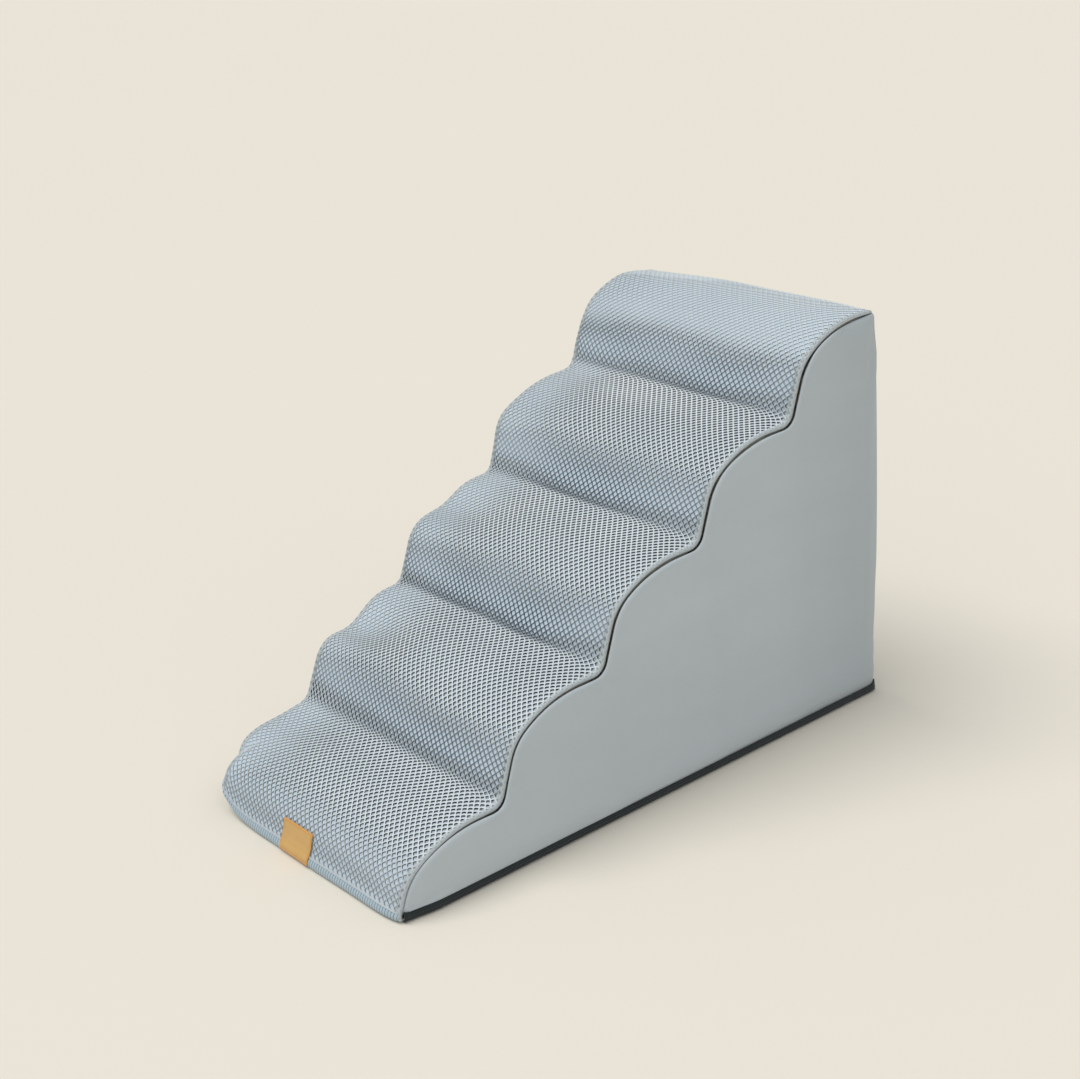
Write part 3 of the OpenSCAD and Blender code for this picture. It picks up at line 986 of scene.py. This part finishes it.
def flap_point(u, v):
    """The flap inside the U of the zip, which bulges a little."""
    low = ZIP_LOW + ZIP_GAP
    z = low + (TOP_Z - low) * v ** 1.4
    half = ZIP_HALF - zip_gap_at(z)
    if z < ZIP_LOW + ZIP_CORNER:
        down = ZIP_LOW + ZIP_CORNER - z
        half = ZIP_HALF - ZIP_CORNER + math.sqrt((ZIP_CORNER - ZIP_GAP) ** 2 - down ** 2 + 1e-12)
    x = (2 * u - 1) * half
    bulge = (1 - (x / half) ** 2) * (1 - ((z - 0.28) / 0.24) ** 2)
    out = 0.0045 * max(bulge, 0.0) - cloth_edge_dip(min(half - abs(x), z - low))
    return rear_point(x, z, out)


def make_rear():
    top_length = zip_length(TOP_Z)
    surround = cloth_sheet("rear_surround_cloth", 300, 12, surround_point, (top_length, 0.040),
                           FINISH["panel_cloth"], thick=CLOTH_T)
    wear(surround, "rear_surround")
    flap = cloth_sheet("rear_flap_cloth", 60, 90, flap_point, (2 * ZIP_HALF, TOP_Z - ZIP_LOW),
                       FINISH["panel_cloth"], thick=CLOTH_T)
    wear(flap, "rear_flap")
    run = zip_length(ZIP_END)
    for name, side in (("outer", 1), ("inner", -1)):
        def tape(u, v, side=side):
            x, z = zip_point(u, side * (TAPE_START + (TAPE_EDGE - TAPE_START) * v), ZIP_END)
            return Vector((x, REAR_Y - TAPE_DEPTH, z))

        strip = cloth_sheet(f"zip_tape_{name}_strip", 260, 6, tape, (run, TAPE_EDGE),
                            FINISH["zip_tape"], thick=TAPE_T)
        wear(strip, f"zip_tape_{name}")
        coil = finish_mesh(beads(teeth_places(run, side), 8, 5), f"zip_coil_{name}_teeth",
                           FINISH["zip_coil"])
        wear(coil, f"zip_coil_{name}")


def teeth_places(run, side):
    """The teeth of one side of the zip, set half a pitch from those of the other."""
    places = []
    teeth = round(run / TOOTH_PITCH)
    for tooth in range(teeth):
        t = (tooth + 0.25 + 0.5 * (side > 0)) / teeth
        (x0, z0), (x1, z1) = zip_point(t, side * 0.0001, ZIP_END), zip_point(t, side, ZIP_END)
        turn = math.atan2(z1 - z0, x1 - x0)
        x, z = zip_point(t, side * TOOTH_OUT, ZIP_END)
        at = Matrix.Translation((x, REAR_Y - COIL_DEPTH, z)) @ Matrix.Rotation(-turn, 4, "Y")
        places.append(at @ Matrix.Diagonal((*TOOTH, 1)))
    return places


# ---- Base -------------------------------------------------------------------------------------

def band_point(t, out):
    """(x, y) along the base band: up the right side, across the back, down the left."""
    tip = WAVE.point(SIDE_START, 0.0).x + 0.004
    leg, back, r = REAR_Y - tip, 2 * HALF_W, 0.010
    run = t * (2 * leg + back)
    mirror = 1.0
    if run > leg + back / 2:
        run, mirror = 2 * leg + back - run, -1.0
    if run < leg - r:
        return mirror * (HALF_W + out), tip + run
    if run < leg + r:
        turn = (run - leg + r) / (2 * r) * math.pi / 2
        return (mirror * (HALF_W - r + (r + out) * math.cos(turn)),
                REAR_Y - r + (r + out) * math.sin(turn))
    return mirror * (HALF_W - (run - leg)), REAR_Y + out


def stitch_row(name, spots, size, finish):
    """A row of stitches, one from each (place, direction)."""
    places = []
    for place, way in spots:
        turn = way.to_track_quat("X", "Z").to_matrix().to_4x4()
        places.append(Matrix.Translation(place) @ turn @ Matrix.Diagonal((*size, 1)))
    return finish_mesh(beads(places, 6, 5), name, FINISH[finish])


def along_path(point, start, end, pitch):
    """Places and directions every pitch metres along point(distance)."""
    spots = []
    for number in range(int((end - start) / pitch)):
        a, b = point(start + number * pitch), point(start + (number + 0.7) * pitch)
        spots.append(((a + b) / 2, (b - a).normalized()))
    return spots


def make_base():
    tip = WAVE.point(SIDE_START, 0.0).x
    length = 2 * (REAR_Y - tip) + 2 * HALF_W

    def band_wall(u, v):
        out = 0.0004 + 0.0007 * math.sin(math.pi * v) - 0.0022 * (1 - ease(v / 0.22))
        x, y = band_point(u, out)
        from_corner = max(REAR_Y - y, HALF_W - abs(x))
        top = low_edge(max(y - tip, 0.0), from_corner) + 0.0030
        return Vector((x, y, 0.0006 + (top - 0.0006) * v))

    band = cloth_sheet("base_band_strip", 420, 8, band_wall, (length, BAND_TOP),
                       FINISH["base_cloth"], thick=CLOTH_T)
    wear(band, "base_band")

    def underside(u, v):
        front = FRONT_Y + 0.009
        x = (2 * u - 1) * (HALF_W - BASE_INSET)
        return Vector((x, front + (REAR_Y - BASE_INSET - front) * v, DOT_T + 0.0003))

    base = cloth_sheet("base_sheet", 40, 78, underside, (2 * HALF_W, REAR_Y - FRONT_Y),
                       FINISH["base_cloth"], thick=CLOTH_T)
    wear(base, "base_panel")
    dot_h = DOT_T + 0.0002
    dome = Matrix.Diagonal((DOT_R, DOT_R, dot_h, 1))
    places = [Matrix.Translation((col * DOT_PITCH, row * DOT_PITCH, dot_h)) @ dome
              for col in range(-4, 5) for row in range(-9, 10)]
    dots = finish_mesh(beads(places, 12, 6), "grip_dot_domes", FINISH["grip_rubber"])
    wear(dots, "grip_dots")

    def on_band(distance):
        x, y = band_point(distance / length, 0.0011)
        return Vector((x, y, BAND_TOP - 0.0022))

    thread = stitch_row("base_seam_stitches",
                        along_path(on_band, 0.004, length - 0.004, BASE_PITCH), BASE_STITCH,
                        "base_thread")
    wear(thread, "base_seam_thread")


# ---- Seam stitches and label ------------------------------------------------------------------

def make_seams():
    thread_out, from_end = 0.0002, 0.008
    for name, side in (("right", 1), ("left", -1)):
        def on_seam(s, side=side):
            return tread_point(side * HALF_W, s, -thread_out)

        row = stitch_row(f"{name}_seam_stitches",
                         along_path(on_seam, TURN_UNDER, WAVE.length, SEAM_PITCH),
                         SEAM_STITCH, "panel_thread")
        wear(row, f"{name}_seam_thread")

    def on_top(distance):
        return rear_point(HALF_W - distance, TOP_Z, thread_out)

    spots = along_path(on_top, 0.012, 2 * HALF_W - 0.012, SEAM_PITCH)
    for side in (1, -1):
        def on_wrap(distance, side=side):
            return rear_point(side * (HALF_W - WRAP), distance, thread_out)

        spots += along_path(on_wrap, BAND_TOP + from_end, TOP_Z - from_end, SEAM_PITCH)
    rear = stitch_row("rear_seam_stitches", spots, SEAM_STITCH, "panel_thread")
    wear(rear, "rear_seam_thread")
    spots, run = [], zip_length(ZIP_END)
    for side in (1, -1):
        def by_zip(distance, side=side):
            x, z = zip_point(distance / run, side * TOPSTITCH, ZIP_END)
            return Vector((x, REAR_Y + 0.0001, z))

        spots += along_path(by_zip, 0.0, run, ZIP_PITCH)
    row = stitch_row("zip_topstitches", spots, ZIP_STITCH, "panel_thread")
    wear(row, "zip_topstitching")


def riser_point(x, along_riser, out):
    """A point on the first riser, along_riser metres up it from the label's lower edge."""
    return tread_point(x, LABEL_START + along_riser, -out)


def make_label():
    def patch(u, v):
        swell = 0.0008 + 0.0004 * math.sin(math.pi * v)
        return riser_point(LABEL[0].x + LABEL_W * u, LABEL_H * v, swell)

    label = cloth_sheet("front_label_patch", 36, 20, patch, (LABEL_W, LABEL_H),
                        FINISH["label_cloth"], thick=LABEL_T)
    wear(label, "front_label")
    w, h, out = LABEL_W - 2 * LABEL_BORDER, LABEL_H - 2 * LABEL_BORDER, 0.0013

    def border(distance):
        for length, x, y, dx, dy in ((w, 0, 0, 1, 0), (h, w, 0, 0, 1), (w, w, h, -1, 0),
                                     (h, 0, h, 0, -1)):
            if distance <= length:
                return riser_point(LABEL[0].x + LABEL_BORDER + x + dx * distance,
                                   LABEL_BORDER + y + dy * distance, out)
            distance -= length
        return riser_point(LABEL[0].x + LABEL_BORDER, LABEL_BORDER, out)

    row = stitch_row("label_border_stitches", along_path(border, 0, 2 * (w + h), LABEL_PITCH),
                     LABEL_STITCH, "label_thread")
    wear(row, "label_stitching")


# ---- Camera, light and floor ------------------------------------------------------------------

def make_stage():
    floor_bm = bmesh.new()
    bmesh.ops.create_grid(floor_bm, x_segments=1, y_segments=1, size=60)
    paint = Paint("floor", Roughness=0.9, Specular_IOR_Level=0.1)
    grain = paint.noise(paint.place(), 0.6, 1.0)
    paint.feed("Base Color", paint.mix(grain, (0.825, 0.765, 0.665), (0.84, 0.78, 0.68)))
    mesh = bpy.data.meshes.new("studio_floor")
    floor_bm.to_mesh(mesh)
    floor_bm.free()
    mesh.materials.append(paint.material)
    floor = bpy.data.objects.new("studio_floor", mesh)
    bpy.context.scene.collection.objects.link(floor)
    world = bpy.data.worlds.new("studio")
    bpy.context.scene.world = world
    world.use_nodes = True
    sky = world.node_tree.nodes["Background"]
    sky.inputs["Color"].default_value = (0.93, 0.97, 1.0, 1)
    sky.inputs["Strength"].default_value = 0.60
    for name, strength, softness, tint, way in (
            ("key", 1.33, 40, (1.0, 0.98, 0.955), (0.30, 0.25, -0.90)),
            ("fill", 0.30, 90, (0.97, 0.985, 1.0), (-0.8, 0.5, -0.45))):
        lamp = bpy.data.lights.new(name, "SUN")
        lamp.energy, lamp.angle, lamp.color = strength, math.radians(softness), tint
        holder = bpy.data.objects.new(name, lamp)
        holder.rotation_euler = Vector(way).to_track_quat("-Z", "Y").to_euler()
        bpy.context.scene.collection.objects.link(holder)


def make_camera():
    azimuth, pitch, roll = math.radians(51.494), math.radians(21.791), math.radians(-4.162)
    ahead = Vector((-math.sin(azimuth) * math.cos(pitch), math.cos(azimuth) * math.cos(pitch),
                    -math.sin(pitch)))
    right = Vector((math.cos(azimuth), math.sin(azimuth), 0))
    up = right.cross(ahead)
    right, up = (right * math.cos(roll) + up * math.sin(roll),
                 up * math.cos(roll) - right * math.sin(roll))
    lens = bpy.data.cameras.new("camera")
    lens.lens, lens.sensor_width = 63.355, 36
    camera = bpy.data.objects.new("camera", lens)
    place = Vector((1.7024, FRONT_Y - 0.9609, 1.1513))
    camera.matrix_world = Matrix((
        (right.x, up.x, -ahead.x, place.x), (right.y, up.y, -ahead.y, place.y),
        (right.z, up.z, -ahead.z, place.z), (0, 0, 0, 1)))
    bpy.context.scene.collection.objects.link(camera)
    bpy.context.scene.camera = camera


bpy.context.scene.view_settings.view_transform = "Standard"
make_camera()
make_stage()
make_treads()
make_sides()
make_base()
make_rear()
make_seams()
make_label()
for node in ("zip_slider", "zip_pull_tab", "zip_end_stops"):
    dress(node, "zip_metal")
